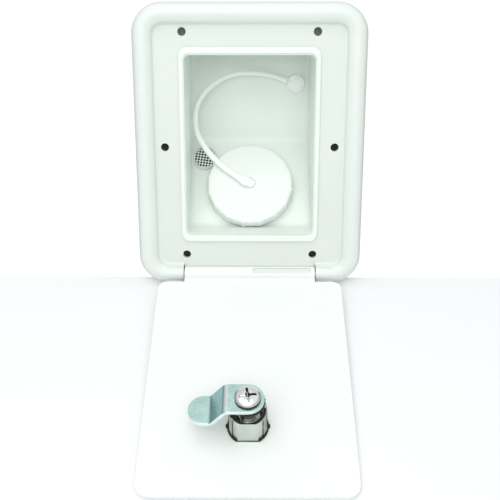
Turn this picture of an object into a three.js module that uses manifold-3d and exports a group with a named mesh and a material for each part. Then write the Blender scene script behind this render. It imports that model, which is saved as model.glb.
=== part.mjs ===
// Lockable gravity water-fill hatch, also sold as a deck fill: a rimmed frame set in a wall, a tub behind
// it with a tethered screw cap and a vent, and a hinged door with a cam lock.
// Millimetres. X is to the right, Y goes into the wall and Z is up. The frame's back lies on Y = 0 and the
// origin is the middle of the hole in the wall. The door hangs open against its stop.
import * as THREE from 'three';
import { mergeVertices } from 'three/addons/utils/BufferGeometryUtils.js';
import Module from 'manifold-3d';

const wasm = await Module();
wasm.setup();

// ---- driving dimensions ------------------------------------------------------------------------------
const GAP = 0.3; // left between pieces that touch

const FRAME_W = 130;
const FRAME_H = 159.4;
const FRAME_R = 17.1; // outer corner
const RIM_W = 11.6; // from the outer edge to the recess
const RIM_H = 8.6; // how far the rim stands off the wall
const LEDGE_T = 3; // floor of the recess

const TUB_W = 72.9; // inside, at the mouth
const TUB_TOP = 51.7;
const TUB_BOTTOM = -49.7;
const TUB_DEPTH = 48.2;
const TUB_WALL = 2;
const TUB_R = 3;
const BEAD_H = 4.6; // front of the lip round the tub's mouth
const SCREW_HOLE_R = 2.3;
const SCREWS = [[37.3, 64], [48.2, 0.6], [37, -62.6]].flatMap(([x, z]) => [[x, z], [-x, z]]);
const KEEPER = { x: [-24, 10.5], y: [6, 13] }; // slot in the tub's roof that the cam turns into

const SHELF_TILT = 34; // degrees that the spout leans up from straight out
const SHELF_Y = 29.32; // where the spout's axis leaves the shelf
const SHELF_Z = -30.05;
const CAP_R = 25.7;
const CAP_TOP = 10.2; // above the shelf
const RIBS = 16; // round the cap's edge
const RIB_H = 0.95;
const RIB_SHARE = 0.38; // of the edge that the ribs take up
const RIB_TURN = -76.6; // degrees from +X to one of them
const HOSE_R = 17.8; // 35 mm hose
const BORE_R = 15.4;

const VENT_X = -28.4;
const VENT_UP = 21; // up the shelf from the spout
const VENT_R = 6.1; // open part of its screen
const VENT_PITCH = 1.8; // between the screen's holes
const VENT_HOLE_R = 0.58;
const ANCHOR_X = 28.1;
const ANCHOR_Z = 32.9;
const STRAP_D = 3.1;

const AXIS_Y = -5.2; // door hinge
const AXIS_Z = -73.8;
const KNUCKLE_R = 4.4;
const KNUCKLE_L = 76.4;
const KNUCKLE_END_GAP = 0.5;
const PIN_R = 1.5;
const PIN_REACH = 8; // each way from the knuckle's end
const DOOR_OPEN = 119.5; // degrees from shut
const DOOR_W = 106.6;
const DOOR_FROM = 6.4; // from the hinge axis to the door's lower edge
const DOOR_TO = 141.2;
const DOOR_T = 3;
const DOOR_INNER = 0.3; // inner face, behind the hinge axis when shut

const LOCK_AT = 104; // from the hinge axis to the lock
const BARREL_R = 9.525; // standard 19 mm cam lock
const BARREL_FLAT = 8.1; // half the width across the flats
const BARREL_H = 15; // above the door's inner face
const PLUG_R = 6.2;
const CAM_W = 16;
const CAM_T = 2;
const CAM_TOP = 25; // above the door's inner face
const CAM_TIP = 15;
const CAM_REACH = 29.1;
const WAFERS = 4;
const WAFER_OUT = 0.6; // how far a wafer stands out of the plug
const CLIP_R = 10.4;

const DEG = Math.PI / 180;
const MOULDED = { color: 0xf1f4f2, roughness: 0.35, metalness: 0 };
const ZINC = { color: 0xb9cfcd, roughness: 0.35, metalness: 1 };
const DIECAST = { color: 0xc9cfc6, roughness: 0.4, metalness: 1 };
const NICKEL = { color: 0xc4c8bf, roughness: 0.3, metalness: 1 };
const BRASS = { color: 0xc2a24e, roughness: 0.35, metalness: 1 };
const STEEL = { color: 0xc3c8c8, roughness: 0.25, metalness: 1 };
const SPRING_STEEL = { color: 0x2b2d2e, roughness: 0.5, metalness: 1 };
const RUBBER = { color: 0x1d1e1f, roughness: 0.8, metalness: 0 };

// ---- solids --------------------------------------------------------------------------------------------
function solid(geometry) {
  const bare = geometry.index ? geometry.toNonIndexed() : geometry.clone();
  for (const name of Object.keys(bare.attributes)) {
    if (name !== 'position') bare.deleteAttribute(name);
  }
  const merged = mergeVertices(bare, 1e-4);
  return new wasm.Manifold(new wasm.Mesh({
    numProp: 3,
    vertProperties: new Float32Array(merged.attributes.position.array),
    triVerts: new Uint32Array(merged.index.array),
  }));
}

function geometryOf(manifold) {
  const mesh = manifold.getMesh();
  const geometry = new THREE.BufferGeometry();
  geometry.setAttribute('position', new THREE.BufferAttribute(mesh.vertProperties, 3));
  geometry.setIndex(new THREE.BufferAttribute(mesh.triVerts, 1));
  geometry.computeVertexNormals();
  return geometry;
}

function roundedRect(x0, x1, y0, y1, r, rTop = r) {
  const s = new THREE.Shape();
  s.moveTo(x0 + r, y0);
  s.absarc(x1 - r, y0 + r, r, -Math.PI / 2, 0, false);
  s.absarc(x1 - rTop, y1 - rTop, rTop, 0, Math.PI / 2, false);
  s.absarc(x0 + rTop, y1 - rTop, rTop, Math.PI / 2, Math.PI, false);
  s.absarc(x0 + r, y0 + r, r, Math.PI, 1.5 * Math.PI, false);
  return s;
}

function polygon(points) {
  return new THREE.Shape(points.map(([x, y]) => new THREE.Vector2(x, y)));
}

// A shape drawn in X and Z, filled from y0 to y1.
function frontal(shape, y0, y1, curveSegments = 6) {
  const g = new THREE.ExtrudeGeometry(shape, { depth: y1 - y0, bevelEnabled: false, curveSegments });
  return solid(g.rotateX(Math.PI / 2).translate(0, y1, 0));
}

// A shape drawn in Y and Z, filled across X from -half to half.
function sideways(shape, half, curveSegments = 12) {
  const g = new THREE.ExtrudeGeometry(shape, { depth: 2 * half, bevelEnabled: false, curveSegments });
  return solid(g.rotateY(Math.PI / 2).rotateX(Math.PI / 2).translate(-half, 0, 0));
}

// A shape drawn in X and Y, filled from z0 to z1.
function upright(shape, z0, z1, curveSegments = 12) {
  const g = new THREE.ExtrudeGeometry(shape, { depth: z1 - z0, bevelEnabled: false, curveSegments });
  return solid(g.translate(0, 0, z0));
}

function box(x0, x1, y0, y1, z0, z1) {
  const g = new THREE.BoxGeometry(x1 - x0, y1 - y0, z1 - z0);
  return solid(g.translate((x0 + x1) / 2, (y0 + y1) / 2, (z0 + z1) / 2));
}

// Turned about Z from [radius, height] points, either closed on itself or ending on the axis.
function turned(points, segments = 32) {
  const profile = points.map(([r, z]) => new THREE.Vector2(r, z));
  if (points[0][0] > 0) profile.push(profile[0].clone());
  return solid(new THREE.LatheGeometry(profile, segments).rotateX(Math.PI / 2));
}

function disc(r, z0, z1, segments = 32) {
  return turned([[0, z0], [r, z0], [r, z1], [0, z1]], segments);
}

function ring(rIn, rOut, z0, z1, segments = 32) {
  return turned([[rIn, z0], [rOut, z0], [rOut, z1], [rIn, z1]], segments);
}

// A cylinder along X.
function alongX(r, x0, x1, y, z, segments = 32) {
  const g = new THREE.CylinderGeometry(r, r, x1 - x0, segments);
  return solid(g.rotateZ(Math.PI / 2).translate((x0 + x1) / 2, y, z));
}

// A [distance in from the edge, height off the wall] section carried round the frame's rounded outline.
function rimSweep(section, steps = 7) {
  const positions = [];
  const index = [];
  const corners = [[1, 1, 0], [-1, 1, 90], [-1, -1, 180], [1, -1, 270]];
  for (const [sx, sz, from] of corners) {
    for (let i = 0; i <= steps; i += 1) {
      const a = (from + (90 * i) / steps) * DEG;
      for (const [inset, height] of section) {
        const r = FRAME_R - inset;
        const x = sx * (FRAME_W / 2 - FRAME_R) + r * Math.cos(a);
        const z = sz * (FRAME_H / 2 - FRAME_R) + r * Math.sin(a);
        positions.push(x, -height, z);
      }
    }
  }
  const n = section.length;
  const stations = positions.length / 3 / n;
  for (let i = 0; i < stations; i += 1) {
    for (let j = 0; j < n; j += 1) {
      const a = i * n + j;
      const b = i * n + ((j + 1) % n);
      const c = ((i + 1) % stations) * n + j;
      const d = ((i + 1) % stations) * n + ((j + 1) % n);
      index.push(a, c, b, b, c, d);
    }
  }
  const geometry = new THREE.BufferGeometry();
  geometry.setAttribute('position', new THREE.Float32BufferAttribute(positions, 3));
  geometry.setIndex(index);
  return solid(geometry);
}

// A screw thread's ridge about Z. It starts and ends inside the wall it stands on.
function threadRidge(root, crest, z0, pitch, turns, width) {
  class Helix extends THREE.Curve {
    getPoint(t, target = new THREE.Vector3()) {
      const a = 2 * Math.PI * turns * t;
      return target.set(root * Math.cos(a), root * Math.sin(a), z0 + pitch * turns * t);
    }
  }
  const depth = Math.abs(crest - root);
  const diamond = polygon([[depth, 0], [0, width / 2], [-depth, 0], [0, -width / 2]]);
  const steps = Math.round(turns * 24);
  return solid(new THREE.ExtrudeGeometry(diamond, { steps, extrudePath: new Helix() }));
}

// ---- frame and tub -------------------------------------------------------------------------------------
const RIM_SHELL = 2.2; // thickness of the hollow rim's outer wall

function trimFrame() {
  const rim = rimSweep([
    [0, 0], [0, 1.6], [0.5, 4.2], [1.8, 6.6], [3.8, 8.1], [6, RIM_H], [8.2, 8.1], [10.2, 6.7],
    [10.9, 5.6], [RIM_W, LEDGE_T], [RIM_W, 0], [RIM_W - RIM_SHELL, 0], [RIM_W - RIM_SHELL, 4.6], [6.2, 6.4],
    [3.6, 5.2], [RIM_SHELL, 2], [RIM_SHELL, 0],
  ]);
  const inset = RIM_W - 0.6;
  const ledge = roundedRect(
    -FRAME_W / 2 + inset, FRAME_W / 2 - inset, -FRAME_H / 2 + inset, FRAME_H / 2 - inset, FRAME_R - inset);
  const clearance = TUB_WALL + GAP;
  const side = TUB_W / 2 + clearance;
  const mouth = roundedRect(-side, side, TUB_BOTTOM - clearance, TUB_TOP + clearance, TUB_R + TUB_WALL);
  let body = rim.add(frontal(ledge, -LEDGE_T, 0)).subtract(frontal(mouth, -LEDGE_T - 1, 1));
  for (const [x, z] of SCREWS) {
    const hole = new THREE.Shape().absarc(x, z, SCREW_HOLE_R, 0, 2 * Math.PI);
    body = body.subtract(frontal(hole, -LEDGE_T - 1, 1, 10));
  }
  // Solid blocks in the hollow rim hold the hinge pins; between them the knuckle's cradle is open in front.
  const half = KNUCKLE_L / 2 + KNUCKLE_END_GAP;
  for (const s of [-1, 1]) {
    const block = [s * half, s * (half + PIN_REACH + 2)].sort((a, b) => a - b);
    body = body.add(box(...block, AXIS_Y - 2, 0, AXIS_Z - KNUCKLE_R + 0.2, AXIS_Z + KNUCKLE_R + 0.4));
    const pin = [s * (half - 1), s * (half + PIN_REACH + 1)].sort((a, b) => a - b);
    body = body.subtract(alongX(PIN_R + GAP, ...pin, AXIS_Y, AXIS_Z, 16));
  }
  const front = -2 * RIM_H;
  const lip = -FRAME_H / 2 + 1.2; // the door's stop
  const sill = AXIS_Z + KNUCKLE_R - 1.1; // where the cradle meets the recess
  const across = (y1, z0, z1) => box(-half, half, front, y1, z0, z1);
  return body
    .subtract(alongX(KNUCKLE_R + GAP, -half, half, AXIS_Y, AXIS_Z))
    .subtract(across(AXIS_Y, lip, AXIS_Z))
    .subtract(across(AXIS_Y, AXIS_Z - 1, sill + 10))
    .subtract(across(-LEDGE_T, sill, sill + 10))
    .subtract(across(AXIS_Y - 2.2, -FRAME_H / 2 - 1, AXIS_Z));
}

// The tub's section in Y and Z, grown by a wall: the back is upright above and leans under the spout below.
function tubSection(grow) {
  const t = SHELF_TILT * DEG;
  const slope = Math.tan(Math.PI / 2 - t);
  const back = TUB_DEPTH + grow;
  const shelfY = SHELF_Y + grow / Math.cos(t);
  const crease = SHELF_Z + (back - shelfY) * slope;
  const floor = TUB_BOTTOM - grow;
  const front = -BEAD_H - (grow ? 0 : 1);
  return polygon([
    [front, floor], [shelfY + (floor - SHELF_Z) / slope, floor], [back, crease], [back, TUB_TOP + grow],
    [front, TUB_TOP + grow],
  ]);
}

function onShelf(manifold, x = 0, up = 0) {
  const t = SHELF_TILT * DEG;
  return manifold
    .rotate([90 - SHELF_TILT, 0, 0])
    .translate([x, SHELF_Y + up * Math.sin(t), SHELF_Z + up * Math.cos(t)]);
}

function tub() {
  const half = TUB_W / 2;
  const outline = (g, r) => roundedRect(-half - g, half + g, TUB_BOTTOM - g, TUB_TOP + g, r);
  const shell = sideways(tubSection(TUB_WALL), half + TUB_WALL)
    .intersect(frontal(outline(TUB_WALL, TUB_R + TUB_WALL), -BEAD_H, 90));
  const lip = roundedRect(-half - 3.1, half + 3.1, TUB_BOTTOM - 4.9, TUB_TOP + 4.1, TUB_R + 2);
  const lipTop = roundedRect(-half - 2.3, half + 2.3, TUB_BOTTOM - 4.1, TUB_TOP + 3.3, TUB_R + 1.5);
  const cavity = sideways(tubSection(0), half).intersect(frontal(outline(0, TUB_R), -BEAD_H - 1, 90));
  const keeper = box(...KEEPER.x, ...KEEPER.y, TUB_TOP - 1, TUB_TOP + TUB_WALL + 1);
  const anchor = disc(2.1, -9, 9, 16).rotate([90, 0, 0]).translate([ANCHOR_X, TUB_DEPTH, ANCHOR_Z]);
  return shell
    .add(frontal(lip, -BEAD_H + 0.6, -LEDGE_T - GAP))
    .add(frontal(lipTop, -BEAD_H, -LEDGE_T - GAP - 0.2))
    .subtract(cavity)
    .subtract(keeper)
    .subtract(anchor)
    .subtract(onShelf(disc(HOSE_R + 1.6, -9, 9)))
    .subtract(onShelf(disc(7, -9, 9, 24), VENT_X, VENT_UP));
}

function hingePin(side) {
  const half = KNUCKLE_L / 2;
  const ends = [side * (half - PIN_REACH), side * (half + PIN_REACH)].sort((a, b) => a - b);
  return alongX(PIN_R, ...ends, AXIS_Y, AXIS_Z, 16);
}

// ---- spout and cap, in the spout's own frame: Z runs out along its axis from the shelf ---------------
const GASKET_T = 0.8;
const SPOUT_FLANGE = 2 * GAP + GASKET_T + 1.4;
const NECK_R = 20;
const NECK_CREST = 21.2;
const CAP_BASE = SPOUT_FLANGE + GAP;
const CAP_INNER = 22.6;
const CAP_ROOF = 8;

function fillSpout() {
  const seat = 2 * GAP + GASKET_T;
  const barbs = [];
  for (let k = 0; k < 3; k += 1) {
    barbs.push([HOSE_R, -17 - 7 * k], [HOSE_R - 1, -23 - 7 * k]);
  }
  const sleeve = HOSE_R + 1.2;
  return turned([
    [BORE_R, 6.6], [BORE_R, -40], [HOSE_R - 1, -40], ...barbs.reverse(), [HOSE_R - 1, -14], [sleeve, -13.5],
    [sleeve, seat], [23.4, seat], [23.4, SPOUT_FLANGE], [NECK_R, SPOUT_FLANGE], [NECK_R, 6.6],
  ], 36).add(threadRidge(NECK_R, NECK_CREST, 3.6, 2.5, 0.9, 1.2));
}

function spoutLocknut() {
  const octagon = polygon([...Array(8).keys()].map((k) => {
    const a = (k + 0.5) * 45 * DEG;
    return [26 * Math.cos(a), 26 * Math.sin(a)];
  }));
  return upright(octagon, -9, -TUB_WALL - GAP).subtract(disc(HOSE_R + 1.5, -12, 2));
}

// A round edge with narrow, pointed ribs.
function ribbedOutline() {
  const points = [];
  const perRib = 10;
  for (let i = 0; i < RIBS * perRib; i += 1) {
    const u = Math.abs((2 * (i % perRib)) / perRib - 1); // 1 on a rib and 0 midway to the next
    const rise = Math.max(0, (u - 1 + RIB_SHARE) / RIB_SHARE) ** 1.2;
    const r = CAP_R - RIB_H * (1 - rise);
    const a = RIB_TURN * DEG + ((i / perRib) * 2 * Math.PI) / RIBS;
    points.push([r * Math.cos(a), r * Math.sin(a)]);
  }
  return polygon(points);
}

function fillCap() {
  const rounding = turned([
    [0, CAP_BASE - 1], [CAP_R + 2, CAP_BASE - 1], [CAP_R + 0.2, CAP_TOP - 2], [CAP_R - 0.9, CAP_TOP - 0.5],
    [CAP_R - 2.2, CAP_TOP], [0, CAP_TOP],
  ], 48);
  return upright(ribbedOutline(), CAP_BASE, CAP_TOP)
    .intersect(rounding)
    .subtract(disc(CAP_INNER, CAP_BASE - 1, CAP_ROOF, 40))
    .subtract(disc(1.8, CAP_ROOF - 1, CAP_TOP + 1, 16))
    .add(threadRidge(CAP_INNER, 21.6, 3.9, 2.5, 0.9, 1.2));
}

function tetherStud() {
  const under = CAP_TOP + GAP;
  return turned([
    [0, 5.6], [1.3, 5.6], [1.5, 6], [1.5, under], [3.2, under], [3.2, under + 1.3], [2.6, under + 2.1],
    [0, under + 2.2],
  ], 24);
}

// ---- vent, in its own frame on the shelf ---------------------------------------------------------------
const VENT_SEAT = 0.55; // the screen's seat, above the shelf
const VENT_TOP = 1.7;

function ventFitting() {
  const cup = VENT_R + 0.8;
  return turned([
    [cup, VENT_TOP], [cup, VENT_SEAT], [VENT_R, VENT_SEAT], [5.6, -1], [4.6, -9], [4.6, -24], [6, -24],
    [6.6, -19], [5.6, -19], [6.6, -13.5], [5.6, -13.5], [6.7, -8], [6.7, GAP], [7.75, GAP],
    [7.75, VENT_TOP - 0.3], [7.5, VENT_TOP],
  ], 24);
}

// Rows of holes, and the ring round them cuts the outer ones short.
function ventScreen() {
  const holes = [];
  const across = 3; // holes each way from the middle
  for (let i = -across; i <= across; i += 1) {
    for (let j = -across; j <= across; j += 1) {
      if (Math.hypot(i, j) > across + 0.7) continue;
      holes.push(disc(VENT_HOLE_R, 0, 2, 6).translate([i * VENT_PITCH, j * VENT_PITCH, 0]));
    }
  }
  const open = wasm.Manifold.union(holes).rotate([0, 0, -8]).intersect(disc(VENT_R, -1, 3, 24));
  return disc(VENT_R + 0.5, VENT_SEAT + GAP, VENT_TOP - GAP, 24).subtract(open);
}

// ---- tether --------------------------------------------------------------------------------------------
// The strap's route, from the button on the back wall round to the stud in the cap.
const STRAP_ROUTE = [
  [22.4, 46.2, 34.7], [17.5, 45.8, 36.5], [12.1, 45.4, 38], [5.5, 44.5, 39.1], [-1.4, 43.6, 39.4],
  [-7, 42.9, 39.3], [-11.5, 42.2, 38.4], [-16, 41.3, 36.9], [-20, 40.5, 34.6], [-24, 39.5, 31.8],
  [-27.4, 38.4, 28.5], [-30.2, 37.2, 24.8], [-32.2, 35.9, 20.6], [-33.2, 34.5, 16.2], [-33.5, 33, 11.6],
  [-32.9, 31.6, 7], [-31.4, 30.3, 2.6], [-29, 29, -1.6], [-26, 27.6, -5.8], [-22.2, 26.2, -10],
  [-18, 24.6, -13.7], [-13, 22.7, -17.2], [-8, 20.7, -20.1], [-3.5, 18.9, -22.3],
];

function tether() {
  const points = STRAP_ROUTE.map((p) => new THREE.Vector3(...p));
  const route = new THREE.CatmullRomCurve3(points, false, 'centripetal');
  const section = new THREE.Shape().absarc(0, 0, STRAP_D / 2, 0, 2 * Math.PI);
  return new THREE.ExtrudeGeometry(section, { steps: 40, curveSegments: 4, extrudePath: route });
}

function tetherAnchor() {
  return turned([[0, -5.5], [1.8, -5.5], [1.8, GAP], [5.4, GAP], [5.4, 2.2], [4.9, 2.7], [0, 2.7]], 32);
}

// ---- door, in the hinge's own frame: Z runs up the shut door and Y through it, inwards ----------------
function door() {
  const inner = DOOR_INNER;
  const outer = DOOR_INNER - DOOR_T;
  const w = DOOR_W / 2;
  const panel = (cut) => roundedRect(-w + cut, w - cut, DOOR_FROM + cut, DOOR_TO - cut, 5 - cut, 7 - cut);
  const half = KNUCKLE_L / 2;
  const hole = lockSection(GAP);
  const holeThrough = upright(hole, -DOOR_T - 2, 2).rotate([-90, 0, 0]).translate([0, inner, LOCK_AT]);
  let body = frontal(panel(0), outer + 0.6, inner)
    .add(frontal(panel(0.6), outer, inner))
    .add(box(-half, half, outer, inner, 0, DOOR_FROM + 2))
    .add(alongX(KNUCKLE_R, -half, half, 0, 0))
    .subtract(holeThrough);
  for (const s of [-1, 1]) {
    const bore = [s * (half - PIN_REACH - 1), s * (half + 1)].sort((a, b) => a - b);
    body = body.subtract(alongX(PIN_R + GAP, ...bore, 0, 0, 16));
  }
  return body;
}

// ---- lock, in its own frame: Z runs inwards from the door's inner face, -Y to the door's free edge ----
function lockSection(grow) {
  const r = BARREL_R + grow;
  const flat = BARREL_FLAT + grow;
  const a = Math.asin(flat / r);
  const s = new THREE.Shape();
  s.absarc(0, 0, r, -a, a, false);
  s.absarc(0, 0, r, Math.PI - a, Math.PI + a, false);
  return s;
}

const FACE = -DOOR_T; // the door's outer face
const HEAD_T = 3;
const STOP_FLOOR = 10.3; // floor of the hollow in the barrel's top
const HOLLOW_R = 7.2;

function lockBody() {
  const head = turned([
    [0, FACE - HEAD_T], [9.4, FACE - HEAD_T], [10.8, FACE - 2.2], [11.2, FACE - 1], [11.2, FACE - GAP],
    [0, FACE - GAP],
  ], 32);
  const relief = disc(HOLLOW_R + 0.1, -1.8, 9.4, 32);
  const stopAt = (turn) => box(-1.2, 1.2, 3, 9, 0, 20).rotate([0, 0, turn]);
  const stops = ring(5.2, 8, STOP_FLOOR - 0.3, 13.4, 32).intersect(stopAt(-33).add(stopAt(123)));
  return upright(lockSection(0), FACE - 1, BARREL_H, 9)
    .add(head)
    .subtract(disc(PLUG_R + GAP, FACE - 5, BARREL_H + 1, 32))
    .subtract(relief)
    .subtract(disc(HOLLOW_R, STOP_FLOOR - 0.3, BARREL_H + 1, 32))
    .add(stops);
}

// A spring clip with an ear on each side. It is open towards the door's free edge.
function lockClip() {
  const ear = CLIP_R + 0.6;
  return upright(new THREE.Shape().absarc(0, 0, CLIP_R, 0, 2 * Math.PI), GAP, GAP + 0.8, 20)
    .add(box(-ear, ear, -0.9, 0.9, GAP, GAP + 0.8))
    .subtract(upright(lockSection(GAP), -1, 3))
    .subtract(box(-5.6, 5.6, -14, -4, -1, 3));
}

const waferAt = (k) => -0.9 + 2.5 * k; // middle of each wafer
const waferSide = (k) => (k % 2 ? -1 : 1);
const WAFER_HALF = 2.5;

function lockPlug() {
  let plug = turned([
    [0, FACE - HEAD_T], [PLUG_R - 0.5, FACE - HEAD_T], [PLUG_R, FACE - HEAD_T + 0.5], [PLUG_R, 10],
    [3.7, 10], [3.7, 21.2], [0, 21.2],
  ], 32);
  plug = plug.add(box(-1.3, 1.3, 3, 6.9, STOP_FLOOR, 13)).subtract(disc(2.1, 12, 25, 16));
  plug = plug.subtract(box(-1.1, 1.1, -3.8, 3.8, FACE - 5, 8.5));
  for (let k = 0; k < WAFERS; k += 1) {
    const slot = WAFER_HALF + GAP;
    plug = plug.subtract(box(-slot, slot, -9, 9, waferAt(k) - 0.8, waferAt(k) + 0.8));
  }
  return plug;
}

function wafer(k) {
  const plate = disc(PLUG_R - 0.05, -0.5, 0.5, 36).intersect(box(-WAFER_HALF, WAFER_HALF, -9, 9, -1, 1));
  return plate
    .subtract(box(-1.3, 1.3, -3.3, 4, -1, 1))
    .rotate([0, 0, waferSide(k) > 0 ? 0 : 180])
    .translate([0, waferSide(k) * WAFER_OUT, waferAt(k)]);
}

function toothedWasher() {
  const points = [];
  const teeth = 56;
  for (let i = 0; i < teeth; i += 1) {
    const a = (i * 2 * Math.PI) / teeth;
    const r = i % 2 ? 8.6 : 8;
    points.push([r * Math.cos(a), r * Math.sin(a)]);
  }
  return upright(polygon(points), 21.5, 22.7).subtract(disc(2.5, 20, 24, 16));
}

function cam() {
  const side = polygon([
    [9, CAM_TOP - CAM_T], [9, CAM_TOP], [-11.4, CAM_TOP], [-18.2, CAM_TIP], [-40, CAM_TIP],
    [-40, CAM_TIP - CAM_T], [-17.4, CAM_TIP - CAM_T], [-10.4, CAM_TOP - CAM_T],
  ]);
  const half = CAM_W / 2;
  const bar = solid(new THREE.ExtrudeGeometry(side, { depth: 2 * half, bevelEnabled: false })
    .translate(0, 0, -half).rotateX(Math.PI / 2));
  const plan = new THREE.Shape();
  plan.absarc(0, 0, half, -Math.PI / 2, Math.PI / 2, false);
  plan.absarc(-CAM_REACH + half, 0, half, Math.PI / 2, 1.5 * Math.PI, false);
  return bar.intersect(upright(plan, 0, 40, 20)).subtract(disc(2.3, 0, 40, 16));
}

function camScrew() {
  const top = CAM_TOP + GAP;
  const arm = box(-3, 3, -0.55, 0.55, top + 0.9, top + 5);
  const cross = arm.add(arm.rotate([0, 0, 90]));
  return turned([
    [0, 13.5], [1.8, 13.5], [1.8, top], [6.3, top], [6.3, top + 0.7], [5.4, top + 1.7], [3.6, top + 2.3],
    [0, top + 2.5],
  ], 32).subtract(cross);
}

// ---- assembly ------------------------------------------------------------------------------------------
function named(name, shape, look, parent) {
  const geometry = shape.isBufferGeometry ? shape : geometryOf(shape);
  const mesh = new THREE.Mesh(geometry, new THREE.MeshStandardMaterial(look));
  mesh.name = name;
  parent.add(mesh);
  return mesh;
}

function groupAt(parent, position, tiltX) {
  const group = new THREE.Group();
  group.position.set(...position);
  group.rotation.x = tiltX * DEG;
  parent.add(group);
  return group;
}

const hatch = new THREE.Group();
named('trim_frame', trimFrame(), MOULDED, hatch);
named('tub', tub(), MOULDED, hatch);
named('hinge_pin_left', hingePin(-1), STEEL, hatch);
named('hinge_pin_right', hingePin(1), STEEL, hatch);
named('tether', tether(), MOULDED, hatch);

const anchor = groupAt(hatch, [ANCHOR_X, TUB_DEPTH, ANCHOR_Z], 90);
named('tether_anchor', tetherAnchor(), MOULDED, anchor);
named('anchor_push_nut', ring(2.1, 4.6, -TUB_WALL - GAP - 1.2, -TUB_WALL - GAP, 24), STEEL, anchor);

const spout = groupAt(hatch, [0, SHELF_Y, SHELF_Z], 90 - SHELF_TILT);
named('fill_spout', fillSpout(), MOULDED, spout);
named('spout_gasket', ring(HOSE_R + 1.5, 23.2, GAP, GAP + GASKET_T), RUBBER, spout);
named('spout_locknut', spoutLocknut(), MOULDED, spout);
named('fill_cap', fillCap(), MOULDED, spout);
named('cap_gasket', ring(17.4, 21.2, 6.9, CAP_ROOF - GAP), RUBBER, spout);
named('tether_stud', tetherStud(), MOULDED, spout);
named('stud_retainer', ring(1.8, 4.2, 6.7, CAP_ROOF - GAP, 24), STEEL, spout);

const lean = SHELF_TILT * DEG;
const ventPlace = [VENT_X, SHELF_Y + VENT_UP * Math.sin(lean), SHELF_Z + VENT_UP * Math.cos(lean)];
const vent = groupAt(hatch, ventPlace, 90 - SHELF_TILT);
named('vent_fitting', ventFitting(), MOULDED, vent);
named('vent_screen', ventScreen(), MOULDED, vent);

const leaf = groupAt(hatch, [0, AXIS_Y, AXIS_Z], DOOR_OPEN);
named('door', door(), MOULDED, leaf);

const lock = groupAt(leaf, [0, DOOR_INNER, LOCK_AT], -90);
named('lock_body', lockBody(), DIECAST, lock);
named('lock_clip', lockClip(), SPRING_STEEL, lock);
named('lock_plug', lockPlug(), NICKEL, lock);
for (let k = 0; k < WAFERS; k += 1) {
  named(`wafer_${k + 1}`, wafer(k), BRASS, lock);
}
named('toothed_washer', toothedWasher(), SPRING_STEEL, lock);
named('cam', cam(), ZINC, lock);
named('cam_screw', camScrew(), STEEL, lock);

export default hatch;
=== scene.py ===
import math

import bmesh
import bpy
from mathutils import Matrix, Vector


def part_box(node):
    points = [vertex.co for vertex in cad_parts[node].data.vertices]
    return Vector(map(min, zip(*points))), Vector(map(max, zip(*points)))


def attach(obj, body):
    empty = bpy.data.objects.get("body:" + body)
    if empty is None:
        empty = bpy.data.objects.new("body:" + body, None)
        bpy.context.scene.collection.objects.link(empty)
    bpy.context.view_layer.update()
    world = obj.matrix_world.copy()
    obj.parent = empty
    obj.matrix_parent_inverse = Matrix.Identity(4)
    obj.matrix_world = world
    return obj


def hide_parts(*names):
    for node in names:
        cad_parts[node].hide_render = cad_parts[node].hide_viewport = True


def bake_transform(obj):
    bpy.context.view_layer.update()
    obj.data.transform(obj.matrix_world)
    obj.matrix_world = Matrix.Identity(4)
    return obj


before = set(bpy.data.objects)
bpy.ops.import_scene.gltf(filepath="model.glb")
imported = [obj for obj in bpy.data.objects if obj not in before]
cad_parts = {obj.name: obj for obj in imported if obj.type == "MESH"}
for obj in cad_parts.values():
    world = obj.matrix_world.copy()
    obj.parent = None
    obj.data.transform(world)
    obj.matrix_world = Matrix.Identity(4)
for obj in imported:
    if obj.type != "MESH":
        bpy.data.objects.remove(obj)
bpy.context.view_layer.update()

MM = 0.001
TAU = 2 * math.pi


# ---- camera --------------------------------------------------------------------------------------
def add_camera():
    data = bpy.data.cameras.new("Camera")
    data.lens, data.sensor_width = 55.61, 36
    data.clip_start, data.clip_end = 0.01, 20
    camera = bpy.data.objects.new("Camera", data)
    camera.location = (0.004015, -0.440895, 0.063494)
    camera.rotation_euler = [math.radians(a) for a in (74.272, 0.0, 0.502)]
    bpy.context.collection.objects.link(camera)
    bpy.context.scene.camera = camera


# ---- meshes, all in millimetres until they are placed --------------------------------------------
def body(verts, faces, place=None):
    """A closed mesh object, its normals out, from points in millimetres."""
    mesh = bpy.data.meshes.new("part")
    mesh.from_pydata([tuple(v) for v in verts], [], faces)
    bm = bmesh.new()
    bm.from_mesh(mesh)
    bmesh.ops.remove_doubles(bm, verts=bm.verts, dist=1e-4)
    bmesh.ops.recalc_face_normals(bm, faces=bm.faces)
    bm.to_mesh(mesh)
    bm.free()
    obj = bpy.data.objects.new("part", mesh)
    bpy.context.collection.objects.link(obj)
    if place is not None:
        mesh.transform(place)
    return obj


def baked(obj):
    """The object with its modifiers applied to its mesh."""
    bpy.context.view_layer.update()
    made = bpy.data.meshes.new_from_object(obj.evaluated_get(bpy.context.evaluated_depsgraph_get()))
    old, obj.data = obj.data, made
    obj.modifiers.clear()
    bpy.data.meshes.remove(old)
    return obj


def combine(obj, operation, *others):
    """A boolean of closed bodies. The others are used up."""
    for other in others:
        m = obj.modifiers.new("Boolean", "BOOLEAN")
        m.operation, m.solver, m.object = operation, "MANIFOLD", other
        baked(obj)
        bpy.data.objects.remove(other)
    return obj


def join(obj, *others):
    return combine(obj, "UNION", *others)


def cut(obj, *others):
    return combine(obj, "DIFFERENCE", *others)


def softened(obj, width, segments=4, angle=20):
    m = obj.modifiers.new("Bevel", "BEVEL")
    m.width, m.segments, m.angle_limit = width, segments, math.radians(angle)
    return baked(obj)


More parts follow.
